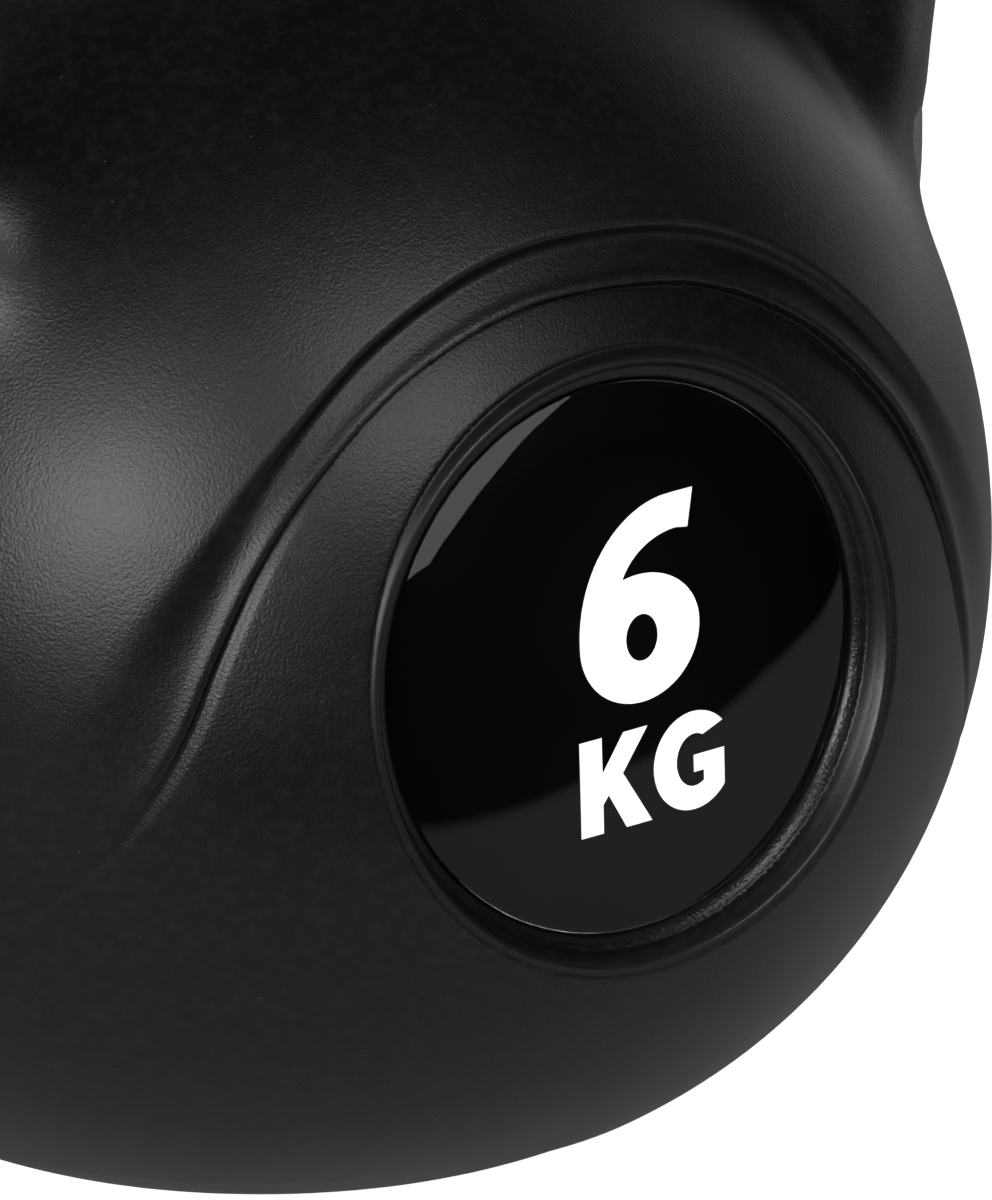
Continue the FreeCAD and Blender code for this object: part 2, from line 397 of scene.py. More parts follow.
# ------------------------------------------------------------------------- mesh helpers
def new_object(name, data):
    obj = bpy.data.objects.new(name, data)
    bpy.context.scene.collection.objects.link(obj)
    return obj


def mesh_from(name, verts, faces):
    mesh = bpy.data.meshes.new(name)
    mesh.from_pydata([tuple(v) for v in verts], [], faces)
    mesh.validate()
    mesh.update()
    return mesh


def shade_smooth(mesh):
    mesh.polygons.foreach_set("use_smooth", [True] * len(mesh.polygons))


def finish_piece(obj, material, nodes=()):
    """Gives a piece its material, parents it to its body and hides the nodes that it replaces.
    """
    obj.data.materials.clear()
    obj.data.materials.append(material)
    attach(obj, BODY)
    if nodes:
        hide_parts(*nodes)
    return obj


def turned(name, profile, segments):
    """A closed solid turned round Z from a profile that starts and ends on the axis."""
    verts, faces = [(0.0, 0.0, profile[0][1])], []
    for r, z in profile[1:-1]:
        for k in range(segments):
            a = 2 * math.pi * k / segments
            verts.append((r * math.cos(a), r * math.sin(a), z))
    verts.append((0.0, 0.0, profile[-1][1]))
    rings = len(profile) - 2
    top = len(verts) - 1
    for k in range(segments):
        n = (k + 1) % segments
        faces.append((0, 1 + n, 1 + k))
        for i in range(rings - 1):
            a, b = 1 + i * segments, 1 + (i + 1) * segments
            faces.append((a + k, a + n, b + n, b + k))
        a = 1 + (rings - 1) * segments
        faces.append((a + k, a + n, top))
    mesh = mesh_from(name, verts, faces)
    bm = bmesh.new()
    bm.from_mesh(mesh)
    bmesh.ops.recalc_face_normals(bm, faces=bm.faces)
    bm.to_mesh(mesh)
    bm.free()
    shade_smooth(mesh)
    return mesh


def casing_blank(sizes):
    """A rough closed blank of bell and handle, remeshed to an even pitch."""
    bm = bmesh.new()
    bmesh.ops.create_uvsphere(
        bm, u_segments=96, v_segments=64, radius=sizes.cup_radius - 0.0005,
        matrix=Matrix.Translation((0, 0, sizes.shoulder_height - 0.001)))
    for v in bm.verts:
        v.co.z = max(v.co.z, 0.0005)
    half = smooth_curve(HANDLE_LINE, 90)
    half = half[(half[:, 0] >= 0) & (half[:, 1] > 0.06)]
    line = np.vstack([half * (-1, 1, 1, 1), half[::-1]])
    tangent = np.gradient(line[:, :2], axis=0)
    tangent /= np.hypot(*tangent.T)[:, None]
    rings = []
    for (x, z, thick, wide), (tx, tz) in zip(line, tangent):
        turn = [2 * math.pi * k / 40 for k in range(40)]
        rings.append([bm.verts.new((x - tz * thick * math.cos(a), wide * math.sin(a),
                                    z + tx * thick * math.cos(a))) for a in turn])
    for low, high in zip(rings, rings[1:]):
        for k in range(40):
            n = (k + 1) % 40
            bm.faces.new((low[k], low[n], high[n], high[k]))
    bm.faces.new(rings[0][::-1])
    bm.faces.new(rings[-1])
    bmesh.ops.recalc_face_normals(bm, faces=bm.faces)
    mesh = bpy.data.meshes.new("blank")
    bm.to_mesh(mesh)
    bm.free()
    obj = new_object("blank", mesh)
    mod = obj.modifiers.new("even", "REMESH")
    mod.mode = "VOXEL"
    mod.voxel_size = sizes.skin_pitch
    even = bpy.data.meshes.new_from_object(
        obj.evaluated_get(bpy.context.evaluated_depsgraph_get()))
    bpy.data.objects.remove(obj)
    bpy.data.meshes.remove(mesh)
    return even


def read_points(bm):
    return np.array([v.co[:] for v in bm.verts])


def write_points(bm, points):
    for v, p in zip(bm.verts, points.tolist()):
        v.co = p


def casing_mesh(sizes):
    """The blank drawn onto the skin, with a finer mesh on every step, rim and line."""
    skin = CasingSkin(sizes)
    blank = casing_blank(sizes)
    bm = bmesh.new()
    bm.from_mesh(blank)
    bpy.data.meshes.remove(blank)
    bmesh.ops.triangulate(bm, faces=bm.faces)
    write_points(bm, skin.draw_on(read_points(bm), 6))
    for _ in range(3):
        bmesh.ops.smooth_vert(bm, verts=bm.verts, factor=0.5,
                              use_axis_x=True, use_axis_y=True, use_axis_z=True)
        write_points(bm, skin.draw_on(read_points(bm), 3))
    for _ in range(4):
        wanted = skin.pitch(read_points(bm))
        bm.verts.index_update()
        long = [e for e in bm.edges if e.calc_length()
                > 1.45 * min(wanted[e.verts[0].index], wanted[e.verts[1].index])]
        if not long:
            break
        bmesh.ops.subdivide_edges(bm, edges=long, cuts=1)
        bmesh.ops.triangulate(bm, faces=bm.faces)
        bmesh.ops.smooth_vert(bm, verts=bm.verts, factor=0.4,
                              use_axis_x=True, use_axis_y=True, use_axis_z=True)
        write_points(bm, skin.draw_on(read_points(bm), 3))
    mesh = bpy.data.meshes.new("casing")
    bm.to_mesh(mesh)
    bm.free()
    points = np.empty(len(mesh.vertices) * 3)
    mesh.vertices.foreach_get("co", points)
    points = points.reshape(-1, 3)
    shade_smooth(mesh)
    drawn_in = points * DRAWN_IN
    mesh.vertices.foreach_set("co", np.maximum(drawn_in, (-1, -1, 0.0)).ravel())
    slope = skin.slope(points)
    normals = slope / np.linalg.norm(slope, axis=1)[:, None]
    mesh.normals_split_custom_set_from_vertices(normals.tolist())
    radius, front = skin.in_seat(points)
    near = (front > -0.004) & (front < 0.002)

    def ring_mask(inner, outer):
        soft = 0.0003
        return near * ease((radius - inner) / soft) * ease((outer - radius) / soft)

    masks = {"edge": np.clip(skin.sharpness(points) / 1500, -1, 1),
             "bead": ring_mask(0.0337, 0.0363),
             "ledge": ring_mask(0.0324, 0.0339)}
    for name, values in masks.items():
        layer = mesh.attributes.new(name, "FLOAT", "POINT")
        layer.data.foreach_set("value", values.astype(float))
    return mesh


# --------------------------------------------------------------------- labels and print
def seat_frame(side, sizes):
    """Local X right, Y up and Z outward on a label's plane; side -1 is the front."""
    sin, cos = math.sin(sizes.label_tilt), math.cos(sizes.label_tilt)
    out = Vector((0, side * cos, sin))
    right = Vector((-side, 0, 0))
    up = out.cross(right)
    middle = Vector((0, side * sizes.label_reach, sizes.label_height))
    turn = Matrix((right, up, out)).transposed()
    return Matrix.Translation(middle) @ turn.to_4x4()


def dome_height(radius, sizes):
    """Height of the resin's upper face over the label: nearly flat, falling at the rim."""
    t = min(radius / (sizes.label_radius - 0.0001), 1.0)
    return 0.0007 + sizes.dome_crown * (1 - t ** 2.6) * 0.98 + 0.0001 * (1 - t ** 12)


def dome_profile(sizes):
    """Closed lens: flat underside, a vertical edge with a tiny roll, a crowned top."""
    edge = sizes.label_radius - 0.00008
    rows = [(0.0, 0.0), (edge * 0.5, 0.0), (edge - 0.0002, 0.0), (edge, 0.00015),
            (edge + 0.00004, 0.00035)]
    for k in range(0, 46):
        r = edge * math.cos(k / 45 * math.pi / 2)
        rows.append((r, dome_height(r, sizes)))
    rows[-1] = (0.0, dome_height(0.0, sizes))
    return rows


def arc(cx, cy, rx, ry, start, end, count=40):
    """Points on an ellipse's arc; angles in degrees, anticlockwise from +X."""
    turn = np.radians(np.linspace(start, end, count))
    return np.column_stack([cx + rx * np.cos(turn), cy + ry * np.sin(turn)]).tolist()


# Letterforms of a plain heavy type, one unit tall, as closed outlines.
GLYPHS = {
    "6": (0.71, [
        [(0.585, 0.995)] + arc(0.56, 0.36, 0.56, 0.635, 92, 180, 34)[1:]
        + arc(0.355, 0.335, 0.355, 0.335, 180, 360, 60)
        + arc(0.355, 0.335, 0.355, 0.30, 0, 108, 36)
        + arc(0.60, 0.50, 0.368, 0.318, 160, 92, 14) + [(0.66, 0.806), (0.70, 0.995)],
        arc(0.366, 0.320, 0.094, 0.116, 0, 358, 60)]),
    "K": (0.86, [[(0.0, 0.0), (0.275, 0.0), (0.275, 0.30), (0.345, 0.385), (0.56, 0.0),
                  (0.875, 0.0), (0.525, 0.575), (0.845, 1.0), (0.545, 1.0), (0.275, 0.625),
                  (0.275, 1.0), (0.0, 1.0)]]),
    "G": (0.88, [
        arc(0.50, 0.50, 0.50, 0.515, 42, 318, 80)
        + [(0.885, 0.175), (0.885, 0.555), (0.50, 0.555), (0.50, 0.375), (0.625, 0.375),
           (0.625, 0.262)]
        + arc(0.51, 0.505, 0.225, 0.275, 298, 62, 44)]),
}


def text_mesh(name, lines, thickness, slant):
    """Raised print: lines of (text, height, x, y, gap), each starting at its lower left."""
    curve = bpy.data.curves.new(name, "CURVE")
    curve.dimensions = "2D"
    curve.fill_mode = "BOTH"
    curve.extrude = thickness / 2
    for text, height, x, y, gap in lines:
        for letter in text:
            width, outlines = GLYPHS[letter]
            for outline in outlines:
                spline = curve.splines.new("POLY")
                spline.points.add(len(outline) - 1)
                for point, (u, v) in zip(spline.points, outline):
                    point.co = (x + (u + slant * v) * height, y + v * height,
                                thickness / 2, 1)
                spline.use_cyclic_u = True
            x += (width + gap) * height
    source = new_object(name + "_curve", curve)
    mesh = bpy.data.meshes.new_from_object(
        source.evaluated_get(bpy.context.evaluated_depsgraph_get()))
    bpy.data.objects.remove(source)
    bpy.data.curves.remove(curve)
    bm = bmesh.new()
    bm.from_mesh(mesh)
    bmesh.ops.remove_doubles(bm, verts=bm.verts, dist=1e-6)
    bmesh.ops.recalc_face_normals(bm, faces=bm.faces)
    bm.to_mesh(mesh)
    bm.free()
    return mesh


# ---------------------------------------------------------------------- shader building
class Nodes:
    """A node tree with short names for its common steps."""

    def __init__(self, tree):
        self.tree = tree

    def add(self, kind, **values):
        node = self.tree.nodes.new(kind)
        for key, value in values.items():
            setattr(node, key, value)
        return node

    def link(self, source, target):
        """Feeds a socket from another socket, or sets it to a plain value."""
        if hasattr(source, "is_output"):
            self.tree.links.new(source, target)
        else:
            target.default_value = source

    def math(self, operation, a, b=0.0, c=0.0, clamp=False):
        node = self.add("ShaderNodeMath", operation=operation, use_clamp=clamp)
        for socket, value in zip(node.inputs, (a, b, c)):
            self.link(value, socket)
        return node.outputs[0]

    def between(self, value, low, high, out_low=0.0, out_high=1.0):
        """A value carried smoothly from one range to another."""
        node = self.add("ShaderNodeMapRange", interpolation_type="SMOOTHSTEP")
        for socket, item in zip(node.inputs, (value, low, high, out_low, out_high)):
            self.link(item, socket)
        return node.outputs[0]

    def mix(self, factor, a, b):
        node = self.add("ShaderNodeMix", data_type="RGBA")
        self.link(factor, node.inputs[0])
        self.link(a, node.inputs[6])
        self.link(b, node.inputs[7])
        return node.outputs[2]

    def noise(self, vector, scale, detail=3.0, roughness=0.5):
        node = self.add("ShaderNodeTexNoise")
        self.link(vector, node.inputs["Vector"])
        self.link(scale, node.inputs["Scale"])
        node.inputs["Detail"].default_value = detail
        node.inputs["Roughness"].default_value = roughness
        return node.outputs["Fac"]

    def cells(self, vector, scale):
        """Uneven cells: the distance to their centres and a colour for each."""
        node = self.add("ShaderNodeTexVoronoi")
        self.link(vector, node.inputs["Vector"])
        self.link(scale, node.inputs["Scale"])
        return node.outputs

    def group(self, tree, **inputs):
        """A shared node group with this material's own values."""
        node = self.add("ShaderNodeGroup", node_tree=tree)
        for key, value in inputs.items():
            self.link(value, node.inputs[key.replace("_", " ")])
        return node.outputs

    def bump(self, height, distance, strength=1.0):
        node = self.add("ShaderNodeBump")
        node.inputs["Strength"].default_value = strength
        node.inputs["Distance"].default_value = distance
        self.link(height, node.inputs["Height"])
        return node.outputs["Normal"]


def shader_group(name, inputs, outputs):
    """An empty node group with named sockets: (name, kind, default) in, (name, kind) out."""
    tree = bpy.data.node_groups.new(name, "ShaderNodeTree")
    for label, kind, default in inputs:
        socket = tree.interface.new_socket(label, in_out="INPUT", socket_type=kind)
        if default is not None:
            socket.default_value = default
    for label, kind in outputs:
        tree.interface.new_socket(label, in_out="OUTPUT", socket_type=kind)
    nodes = Nodes(tree)
    return nodes, nodes.add("NodeGroupInput").outputs, nodes.add("NodeGroupOutput").inputs


def grain_group():
    """Pebbled moulding grain: soft cells of uneven size, and a mask of its hollows."""
    n, given, out = shader_group(
        "Pebble grain",
        [("Vector", "NodeSocketVector", None), ("Scale", "NodeSocketFloat", 1500.0)],
        [("Height", "NodeSocketFloat"), ("Patches", "NodeSocketFloat")])
    coarse = n.noise(given["Vector"], given["Scale"], 1.0, 0.55)
    fine = n.noise(given["Vector"], n.math("MULTIPLY", given["Scale"], 2.3), 0.0, 0.5)
    cells = n.cells(given["Vector"], n.math("MULTIPLY", given["Scale"], 0.8))
    height = n.math("MULTIPLY_ADD", cells["Distance"], -0.55, coarse)
    n.link(n.math("MULTIPLY_ADD", fine, 0.28, height), out["Height"])
    patches = n.noise(given["Vector"], n.math("MULTIPLY", given["Scale"], 0.012), 2.0, 0.6)
    n.link(n.between(patches, 0.3, 0.7), out["Patches"])
    return n.tree


def wear_group():
    """Rubbed edges: a broken-up mask that grows with how sharp the edge is."""
    n, given, out = shader_group(
        "Edge wear",
        [("Vector", "NodeSocketVector", None), ("Edge", "NodeSocketFloat", 0.0),
         ("Scale", "NodeSocketFloat", 400.0), ("Amount", "NodeSocketFloat", 0.5)],
        [("Mask", "NodeSocketFloat")])
    broken = n.noise(given["Vector"], given["Scale"], 4.0, 0.65)
    worn = n.math("MULTIPLY_ADD", broken, 0.9, n.math("MULTIPLY", given["Edge"], 0.6))
    mask = n.between(worn, 0.62, 1.0)
    n.link(n.math("MULTIPLY", mask, given["Amount"], clamp=True), out["Mask"])
    return n.tree


def dust_group():
    """Sparse specks of dust, each in its own cell, of uneven size and strength."""
    n, given, out = shader_group(
        "Dust specks",
        [("Vector", "NodeSocketVector", None), ("Scale", "NodeSocketFloat", 350.0),
         ("Amount", "NodeSocketFloat", 0.1)],
        [("Mask", "NodeSocketFloat")])
    cells = n.cells(given["Vector"], given["Scale"])
    split = n.add("ShaderNodeSeparateColor")
    n.link(cells["Color"], split.inputs[0])
    chosen = n.math("LESS_THAN", split.outputs[0], given["Amount"])
    size = n.math("MULTIPLY_ADD", split.outputs[1], 0.07, 0.03)
    speck = n.between(n.math("SUBTRACT", cells["Distance"], size), 0.0, 0.03, 1.0, 0.0)
    strength = n.math("MULTIPLY_ADD", split.outputs[2], 0.7, 0.3)
    n.link(n.math("MULTIPLY", n.math("MULTIPLY", speck, chosen), strength), out["Mask"])
    return n.tree


def smudge_group():
    """Faint cloudy marks and fine hairlines that only change the roughness."""
    n, given, out = shader_group(
        "Handling marks",
        [("Vector", "NodeSocketVector", None), ("Scale", "NodeSocketFloat", 60.0)],
        [("Marks", "NodeSocketFloat"), ("Hairlines", "NodeSocketFloat")])
    clouds = n.noise(given["Vector"], given["Scale"], 5.0, 0.6)
    n.link(n.between(clouds, 0.4, 0.75), out["Marks"])
    stretch = n.add("ShaderNodeMapping")
    n.link(given["Vector"], stretch.inputs["Vector"])
    stretch.inputs["Rotation"].default_value = (0.4, 0.7, 0.9)
    stretch.inputs["Scale"].default_value = (1.0, 0.03, 1.0)
    lines = n.noise(stretch.outputs[0], n.math("MULTIPLY", given["Scale"], 40.0), 2.0, 0.5)
    n.link(n.between(lines, 0.70, 0.78), out["Hairlines"])
    return n.tree


def effect(name):
    """A shared shader group, built the first time that it is asked for."""
    made = {"Pebble grain": grain_group, "Edge wear": wear_group,
            "Dust specks": dust_group, "Handling marks": smudge_group}
    return bpy.data.node_groups.get(name) or made[name]()


def new_material(name, colour):
    """A material with its node helper, its main shader and object coordinates."""
    material = bpy.data.materials.new(name)
    material.use_nodes = True
    material.diffuse_color = colour
    n = Nodes(material.node_tree)
    shader = material.node_tree.nodes["Principled BSDF"]
    place = n.add("ShaderNodeTexCoord").outputs["Object"]
    return material, n, shader.inputs, place


def casing_material(colours):
    """Moulded black plastic: pebble grain, parting line, smoother bead, rubbed edges."""
    material, n, surface, place = new_material("casing", colours.casing)
    grain = n.group(effect("Pebble grain"), Vector=place, Scale=2900.0)
    marks = n.group(effect("Handling marks"), Vector=place, Scale=45.0)
    edge = n.add("ShaderNodeAttribute", attribute_name="edge").outputs["Fac"]
    bead = n.add("ShaderNodeAttribute", attribute_name="bead").outputs["Fac"]
    ledge = n.add("ShaderNodeAttribute", attribute_name="ledge").outputs["Fac"]
    worn = n.group(effect("Edge wear"), Vector=place, Edge=edge, Scale=420.0,
                   Amount=0.55)["Mask"]
    dust = n.group(effect("Dust specks"), Vector=place, Scale=800.0, Amount=0.11)["Mask"]
    r, g, b, _ = colours.casing
    tone = n.mix(grain["Patches"], (r * 0.86, g * 0.86, b * 0.87, 1),
                 (r * 1.16, g * 1.16, b * 1.15, 1))
    mottle = n.between(n.noise(place, 620.0, 2.0, 0.7), 0.42, 0.72)
    tone = n.mix(n.math("MULTIPLY", mottle, 0.42), tone, (0.017, 0.017, 0.017, 1))
    tone = n.mix(n.math("MULTIPLY", worn, 0.5), tone, (0.03, 0.03, 0.03, 1))
    n.link(n.mix(n.math("MULTIPLY", dust, 0.4), tone, (0.16, 0.16, 0.155, 1)),
           surface["Base Color"])
    rough = n.math("MULTIPLY_ADD", marks["Marks"], 0.04, 0.345)
    rough = n.math("MULTIPLY_ADD", grain["Patches"], 0.03, rough)
    rough = n.math("MULTIPLY_ADD", worn, -0.12, rough)
    rough = n.math("MULTIPLY_ADD", bead, 0.05, rough)
    rough = n.math("MULTIPLY_ADD", marks["Hairlines"], -0.05, rough)
    n.link(n.math("MULTIPLY_ADD", ledge, -0.06, rough), surface["Roughness"])
    surface["IOR"].default_value = 1.5
    axis = n.add("ShaderNodeSeparateXYZ")
    n.link(place, axis.inputs[0])
    seam = n.between(n.math("ABSOLUTE", axis.outputs["Y"]), 0.00008, 0.0003, 1.0, 0.0)
    waver = n.noise(place, 150.0, 2.0)
    seam = n.math("MULTIPLY", seam, n.between(waver, 0.25, 0.55, 0.35, 1.0))
    pits = n.between(n.noise(place, 2600.0, 1.0), 0.45, 0.62)
    relief = n.math("MULTIPLY", grain["Height"], n.math("MULTIPLY_ADD", bead, -0.7, 1.0))
    relief = n.math("MULTIPLY_ADD", n.math("MULTIPLY", ledge, pits), 0.4, relief)
    relief = n.math("MULTIPLY_ADD", seam, 0.9, relief)
    n.link(n.bump(relief, 0.0001, 0.33), surface["Normal"])
    return material


def film_material(colours):
    """Printed black film under the resin, with a trace of print texture."""
    material, n, surface, place = new_material("label_film", colours.label)
    marks = n.group(effect("Handling marks"), Vector=place, Scale=90.0)
    r, g, b, _ = colours.label
    n.link(n.mix(marks["Marks"], (r, g, b, 1), (r * 2.0, g * 2.0, b * 2.0, 1)),
           surface["Base Color"])
    n.link(n.math("MULTIPLY_ADD", marks["Marks"], 0.1, 0.42), surface["Roughness"])
    n.link(n.bump(n.noise(place, 3000.0, 1.0), 0.00001, 0.12), surface["Normal"])
    surface["Specular IOR Level"].default_value = 0.08
    return material


def print_material(colours):
    """White screen print with a faint weave of ink; it glows faintly as painted light."""
    material, n, surface, place = new_material("numerals", colours.numerals)
    ink = n.noise(place, 1800.0, 3.0)
    r, g, b, _ = colours.numerals
    n.link(n.mix(ink, (r * 0.96, g * 0.96, b * 0.955, 1), (r, g, b, 1)),
           surface["Base Color"])
    # Painted light: the print glows, as if lit through the resin, though it is no lamp.
    n.link(n.mix(ink, (r * 0.96, g * 0.96, b * 0.955, 1), (r, g, b, 1)),
           surface["Emission Color"])
    surface["Emission Strength"].default_value = 0.9
    n.link(n.math("MULTIPLY_ADD", ink, 0.15, 0.5), surface["Roughness"])
    n.link(n.bump(ink, 0.00002, 0.3), surface["Normal"])
    return material


def resin_material():
    """Clear domed resin with a slight waviness, faint marks and a few specks."""
    material, n, surface, place = new_material("label_dome", (0.05, 0.05, 0.05, 0.4))
    marks = n.group(effect("Handling marks"), Vector=place, Scale=70.0)
    dust = n.group(effect("Dust specks"), Vector=place, Scale=500.0, Amount=0.01)["Mask"]
    n.link(n.mix(marks["Marks"], (1, 1, 1, 1), (0.97, 0.975, 0.98, 1)),
           surface["Base Color"])
    surface["Transmission Weight"].default_value = 1.0
    surface["IOR"].default_value = 1.5
    rough = n.math("MULTIPLY_ADD", marks["Marks"], 0.015, 0.012)
    n.link(n.math("MULTIPLY_ADD", dust, 0.3, rough), surface["Roughness"])
    wave = n.noise(place, 45.0, 1.0)
    n.link(n.bump(n.math("MULTIPLY_ADD", dust, 0.02, wave), 0.00025, 0.6),
           surface["Normal"])
    return material


def plug_material():
    """The plug's softer, slightly lighter plastic."""
    material, n, surface, place = new_material("plug", (0.03, 0.03, 0.03, 1))
    grain = n.group(effect("Pebble grain"), Vector=place, Scale=2000.0)
    pointed = n.add("ShaderNodeNewGeometry").outputs["Pointiness"]
    edge = n.between(pointed, 0.5, 0.6)
    worn = n.group(effect("Edge wear"), Vector=place, Edge=edge, Scale=500.0,
                   Amount=0.5)["Mask"]
    tone = n.mix(grain["Patches"], (0.024, 0.024, 0.025, 1), (0.034, 0.034, 0.034, 1))
    n.link(n.mix(worn, tone, (0.10, 0.10, 0.10, 1)), surface["Base Color"])
    n.link(n.math("MULTIPLY_ADD", grain["Patches"], 0.1, 0.5), surface["Roughness"])
    n.link(n.bump(grain["Height"], 0.00012, 0.5), surface["Normal"])
    return material


def cement_material():
    """Grey cement with sand, air holes and darker damp patches."""
    material, n, surface, place = new_material("filling", (0.3, 0.29, 0.27, 1))
    grain = n.group(effect("Pebble grain"), Vector=place, Scale=900.0)
    sand = n.noise(place, 700.0, 4.0, 0.7)
    holes = n.between(n.cells(place, 220.0)["Distance"], 0.08, 0.2)
    tone = n.mix(sand, (0.20, 0.195, 0.18, 1), (0.42, 0.41, 0.38, 1))
    n.link(n.mix(grain["Patches"], tone, (0.24, 0.23, 0.21, 1)), surface["Base Color"])
    surface["Roughness"].default_value = 0.9
    n.link(n.bump(n.math("MULTIPLY_ADD", holes, 0.8, grain["Height"]), 0.0006, 0.7),
           surface["Normal"])
    return material


def rod_material():
    """Mill-finish steel with light rust where it was handled."""
    material, n, surface, place = new_material("rod", (0.4, 0.4, 0.4, 1))
    marks = n.group(effect("Handling marks"), Vector=place, Scale=120.0)
    rust = n.between(n.noise(place, 260.0, 5.0, 0.65), 0.55, 0.7)
    n.link(n.mix(rust, (0.42, 0.42, 0.43, 1), (0.22, 0.09, 0.035, 1)),
           surface["Base Color"])
    n.link(n.between(rust, 0.0, 1.0, 1.0, 0.1), surface["Metallic"])
    n.link(n.math("MULTIPLY_ADD", rust, 0.4, 0.35), surface["Roughness"])
    n.link(n.bump(marks["Hairlines"], 0.0001, 0.4), surface["Normal"])
    return material


def studio_material(colours):
    """Pale paper that the camera sees as evenly white; it ends in front of the bell."""
    material, n, surface, place = new_material("floor", colours.floor)
    paper = n.noise(place, 300.0, 4.0)
    seen_now = n.add("ShaderNodeLightPath").outputs["Is Camera Ray"]
    axis = n.add("ShaderNodeSeparateXYZ")
    n.link(place, axis.inputs[0])
    inside = n.math("MULTIPLY_ADD", axis.outputs["X"], 0.36, axis.outputs["Y"])
    inside = n.between(inside, -0.215, -0.20)
    r, g, b, _ = colours.floor
    pale = n.mix(paper, (r * 0.99, g * 0.99, b * 0.99, 1), (r, g, b, 1))
    dark = n.mix(inside, (0.01, 0.01, 0.01, 1), (0.28, 0.28, 0.28, 1))
    n.link(n.mix(seen_now, dark, pale), surface["Base Color"])
    glow = n.mix(inside, (0, 0, 0, 1), (0.17, 0.17, 0.17, 1))
    n.link(n.mix(seen_now, glow, (1, 1, 1, 1)), surface["Emission Color"])
    surface["Emission Strength"].default_value = 1.0
    surface["Roughness"].default_value = 0.9
    surface["Specular IOR Level"].default_value = 0.0
    n.link(n.bump(paper, 0.00005, 0.02), surface["Normal"])
    return material


# --------------------------------------------------------------------------- operators
class KETTLEBELL_OT_casing(bpy.types.Operator):
    """Builds the moulded casing: bell, horns, grip, label seats and foot"""
    bl_idname = "kettlebell.casing"
    bl_label = "Casing"

    def execute(self, context):
        sizes = context.scene.kettlebell_sizes
        obj = new_object("casing", casing_mesh(sizes))
        finish_piece(obj, casing_material(context.scene.kettlebell_colours),
                     ("shell",))
        return {"FINISHED"}


class KETTLEBELL_OT_labels(bpy.types.Operator):
    """Builds the front and rear labels: film, printed weight and domed resin"""
    bl_idname = "kettlebell.labels"
    bl_label = "Labels"

    def execute(self, context):
        sizes = context.scene.kettlebell_sizes
        colours = context.scene.kettlebell_colours
        film, ink, resin = (film_material(colours), print_material(colours),
                            resin_material())
        edge, thick = sizes.label_radius, FILM_THICKNESS
        film_rows = [(0, 0), (edge - 0.0002, 0), (edge - 0.00005, 0.00004),
                     (edge - 0.00005, thick - 0.00004), (edge - 0.0001, thick),
                     (edge * 0.6, thick), (0, thick)]
        print_turn = Matrix.Rotation(PRINT_TURN, 4, "Z")
        for side, where in ((-1, "front"), (1, "rear")):
            seat = seat_frame(side, sizes)
            obj = new_object(where + "_film", turned(where + "_film", film_rows, 180))
            obj.matrix_world = seat @ Matrix.Translation((0, 0, SEAT_FLOOR))
            finish_piece(obj, film, (where + "_label",))
            obj = new_object(where + "_numerals",
                             text_mesh(where + "_numerals", PRINT_LINES,
                                       PRINT_THICKNESS, PRINT_SLANT))
            obj.matrix_world = (seat @ print_turn
                                @ Matrix.Translation((0, 0, SEAT_FLOOR + thick)))
            finish_piece(obj, ink, (where + "_label",))
            obj = new_object(where + "_dome",
                             turned(where + "_dome", dome_profile(sizes), 240))
            sunk = SEAT_FLOOR + thick - PRINT_THICKNESS / 2
            obj.matrix_world = seat @ Matrix.Translation((0, 0, sunk))
            finish_piece(obj, resin, (where + "_label_dome",))
        return {"FINISHED"}


class KETTLEBELL_OT_plug(bpy.types.Operator):
    """Builds the filler plug in the middle of the base"""
    bl_idname = "kettlebell.plug"
    bl_label = "Filler plug"

    def execute(self, context):
        low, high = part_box("filler_plug")
        if high[2] - low[2] < 0.002:
            raise RuntimeError("the filler plug's space is too shallow")
        head = context.scene.kettlebell_sizes.plug_radius
        top = high[2] - low[2]
        rows = [(0, 0.0005), (0.0038, 0.0005), (0.0042, 0.0002), (0.0048, 0.0),
                (0.0088, 0.0), (0.0092, 0.0001), (0.0095, 0.0004), (0.0107, 0.0004),
                (0.0110, 0.0001), (0.0114, 0.0), (head - 0.0009, 0.0),
                (head - 0.0004, 0.0001), (head - 0.0001, 0.0004), (head, 0.0008),
                (head, 0.0011), (head - 0.0003, 0.0014), (0.0141, 0.0014),
                (0.0138, 0.0017), (0.0138, 0.0040), (0.01395, 0.0045), (0.0138, 0.0050),
                (0.0138, top - 0.0012), (0.0132, top - 0.0003), (0.0125, top), (0, top)]
        obj = new_object("plug", turned("plug", rows, 160))
        obj.location = (0, 0, low[2])
        finish_piece(obj, plug_material(), ("filler_plug",))
        return {"FINISHED"}


class KETTLEBELL_OT_insides(bpy.types.Operator):
    """Finishes the cement and the steel rod inside the casing"""
    bl_idname = "kettlebell.insides"
    bl_label = "Cement and rod"

    def execute(self, context):
        for node, material, slot in (("concrete_fill", cement_material(), "filling"),
                                     ("handle_rod", rod_material(), "rod")):
            obj = frame["nodes"][node]
            obj.data.materials.clear()
            obj.data.materials.append(material)
        return {"FINISHED"}


def soft_light(name, towards, distance, size, power, roll=0.0, aim=(0, 0, 0.08)):
    """A soft rectangular light seen from the bell in the direction `towards`."""
    light = bpy.data.lights.new(name, "AREA")
    light.shape = "RECTANGLE"
    light.size, light.size_y = size
    light.energy = power
    obj = new_object(name, light)
    direction = Vector(towards).normalized()
    obj.location = Vector(aim) + direction * distance
    obj.rotation_mode = "QUATERNION"
    obj.rotation_quaternion = (direction.to_track_quat("Z", "Y")
                               @ Quaternion((0, 0, 1), math.radians(roll)))
    return obj


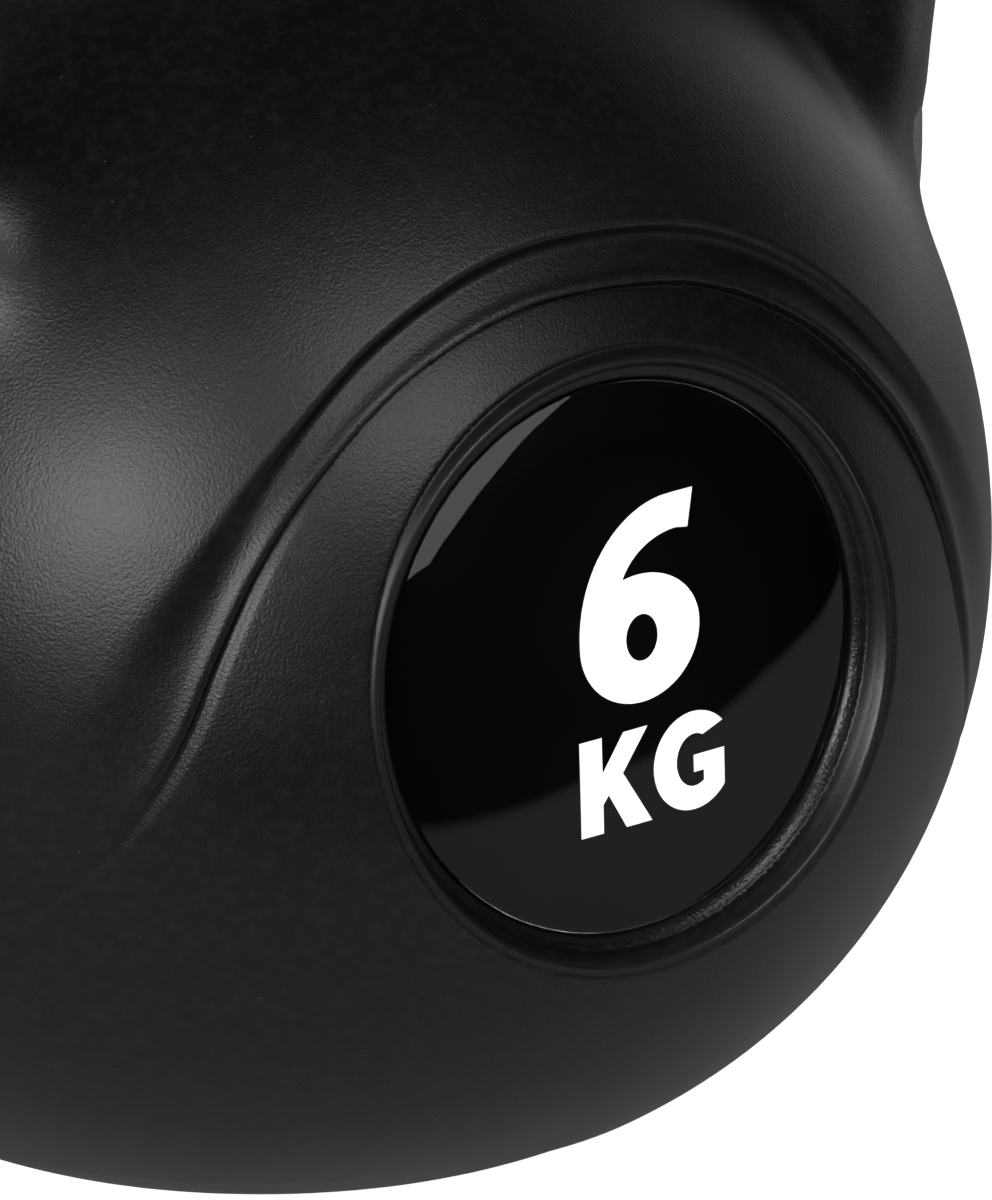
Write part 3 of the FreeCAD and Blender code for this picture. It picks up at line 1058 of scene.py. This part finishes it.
class KETTLEBELL_OT_stage(bpy.types.Operator):
    """Sets the pale floor, the soft studio lights and the camera"""
    bl_idname = "kettlebell.stage"
    bl_label = "Studio"

    def execute(self, context):
        scene = context.scene
        azimuth, elevation = CAMERA_AZIMUTH, CAMERA_ELEVATION
        back = Vector((math.sin(azimuth) * math.cos(elevation),
                       -math.cos(azimuth) * math.cos(elevation), math.sin(elevation)))
        right = Vector((math.cos(azimuth), math.sin(azimuth), 0))
        up = back.cross(right)
        camera = bpy.data.cameras.new("camera")
        camera.lens, camera.sensor_width = CAMERA_LENS, CAMERA_SENSOR
        camera.clip_start, camera.clip_end = 0.05, 30
        view = new_object("camera", camera)
        view.matrix_world = Matrix.Translation(CAMERA_PLACE) @ Matrix(
            (right, up, back)).transposed().to_4x4()
        scene.camera = view

        def seen(x, y, z):
                return right * x + up * y + back * z

        half = 6.0  # of the floor's side
        floor = new_object("floor", mesh_from(
            "floor", [(-half, -half, 0), (half, -half, 0), (half, half, 0),
                      (-half, half, 0)], [(0, 1, 2, 3)]))
        floor.data.materials.append(studio_material(scene.kettlebell_colours))
        lights = [
            soft_light("key", seen(-0.38, 0.05, 0.92), 1.6, (0.70, 0.66), 13),
            soft_light("fill", seen(0.40, 0.40, 0.82), 1.6, (0.9, 0.4), 6.5),
            soft_light("strip", seen(0.78, -0.112, 0.612), 1.3, (0.74, 0.16), 0.62, 42),
        ]

        world = bpy.data.worlds.new("studio")
        world.use_nodes = True
        scene.world = world
        n = Nodes(world.node_tree)
        background = world.node_tree.nodes["Background"]
        place = n.add("ShaderNodeTexCoord").outputs["Generated"]
        facing = n.add("ShaderNodeVectorMath", operation="DOT_PRODUCT")
        n.link(place, facing.inputs[0])
        facing.inputs[1].default_value = back
        behind = n.between(facing.outputs["Value"], -0.95, -0.25, 1.0, 0.0)
        seen_now = n.add("ShaderNodeLightPath").outputs["Is Camera Ray"]
        glow = n.mix(behind, (0.004, 0.004, 0.004, 1), (0.8, 0.8, 0.8, 1))
        n.link(n.mix(seen_now, glow, (1, 1, 1, 1)), background.inputs["Color"])
        background.inputs["Strength"].default_value = 1.0
        scene.view_settings.view_transform = "Standard"
        return {"FINISHED"}


class KETTLEBELL_PT_panel(bpy.types.Panel):
    """Builds the kettlebell piece by piece"""
    bl_idname = "KETTLEBELL_PT_panel"
    bl_label = "Kettlebell"
    bl_space_type = "VIEW_3D"
    bl_region_type = "UI"
    bl_category = "Kettlebell"

    def draw(self, context):
        for settings in (context.scene.kettlebell_sizes, context.scene.kettlebell_colours):
            column = self.layout.column()
            for key in settings.__annotations__:
                column.prop(settings, key)
        for operator in OPERATORS:
            self.layout.operator(operator.bl_idname)


OPERATORS = (KETTLEBELL_OT_casing, KETTLEBELL_OT_labels, KETTLEBELL_OT_plug,
             KETTLEBELL_OT_insides, KETTLEBELL_OT_stage)
CLASSES = (KettlebellSizes, KettlebellColours) + OPERATORS + (KETTLEBELL_PT_panel,)


def register():
    for item in CLASSES:
        bpy.utils.register_class(item)
    bpy.types.Scene.kettlebell_sizes = bpy.props.PointerProperty(type=KettlebellSizes)
    bpy.types.Scene.kettlebell_colours = bpy.props.PointerProperty(type=KettlebellColours)


def unregister():
    del bpy.types.Scene.kettlebell_sizes
    del bpy.types.Scene.kettlebell_colours
    for item in reversed(CLASSES):
        bpy.utils.unregister_class(item)


def main():
    """Builds every piece and the stage."""
    register()
    bpy.ops.kettlebell.casing()
    bpy.ops.kettlebell.labels()
    bpy.ops.kettlebell.plug()
    bpy.ops.kettlebell.insides()
    bpy.ops.kettlebell.stage()


if __name__ == "__main__":
    main()
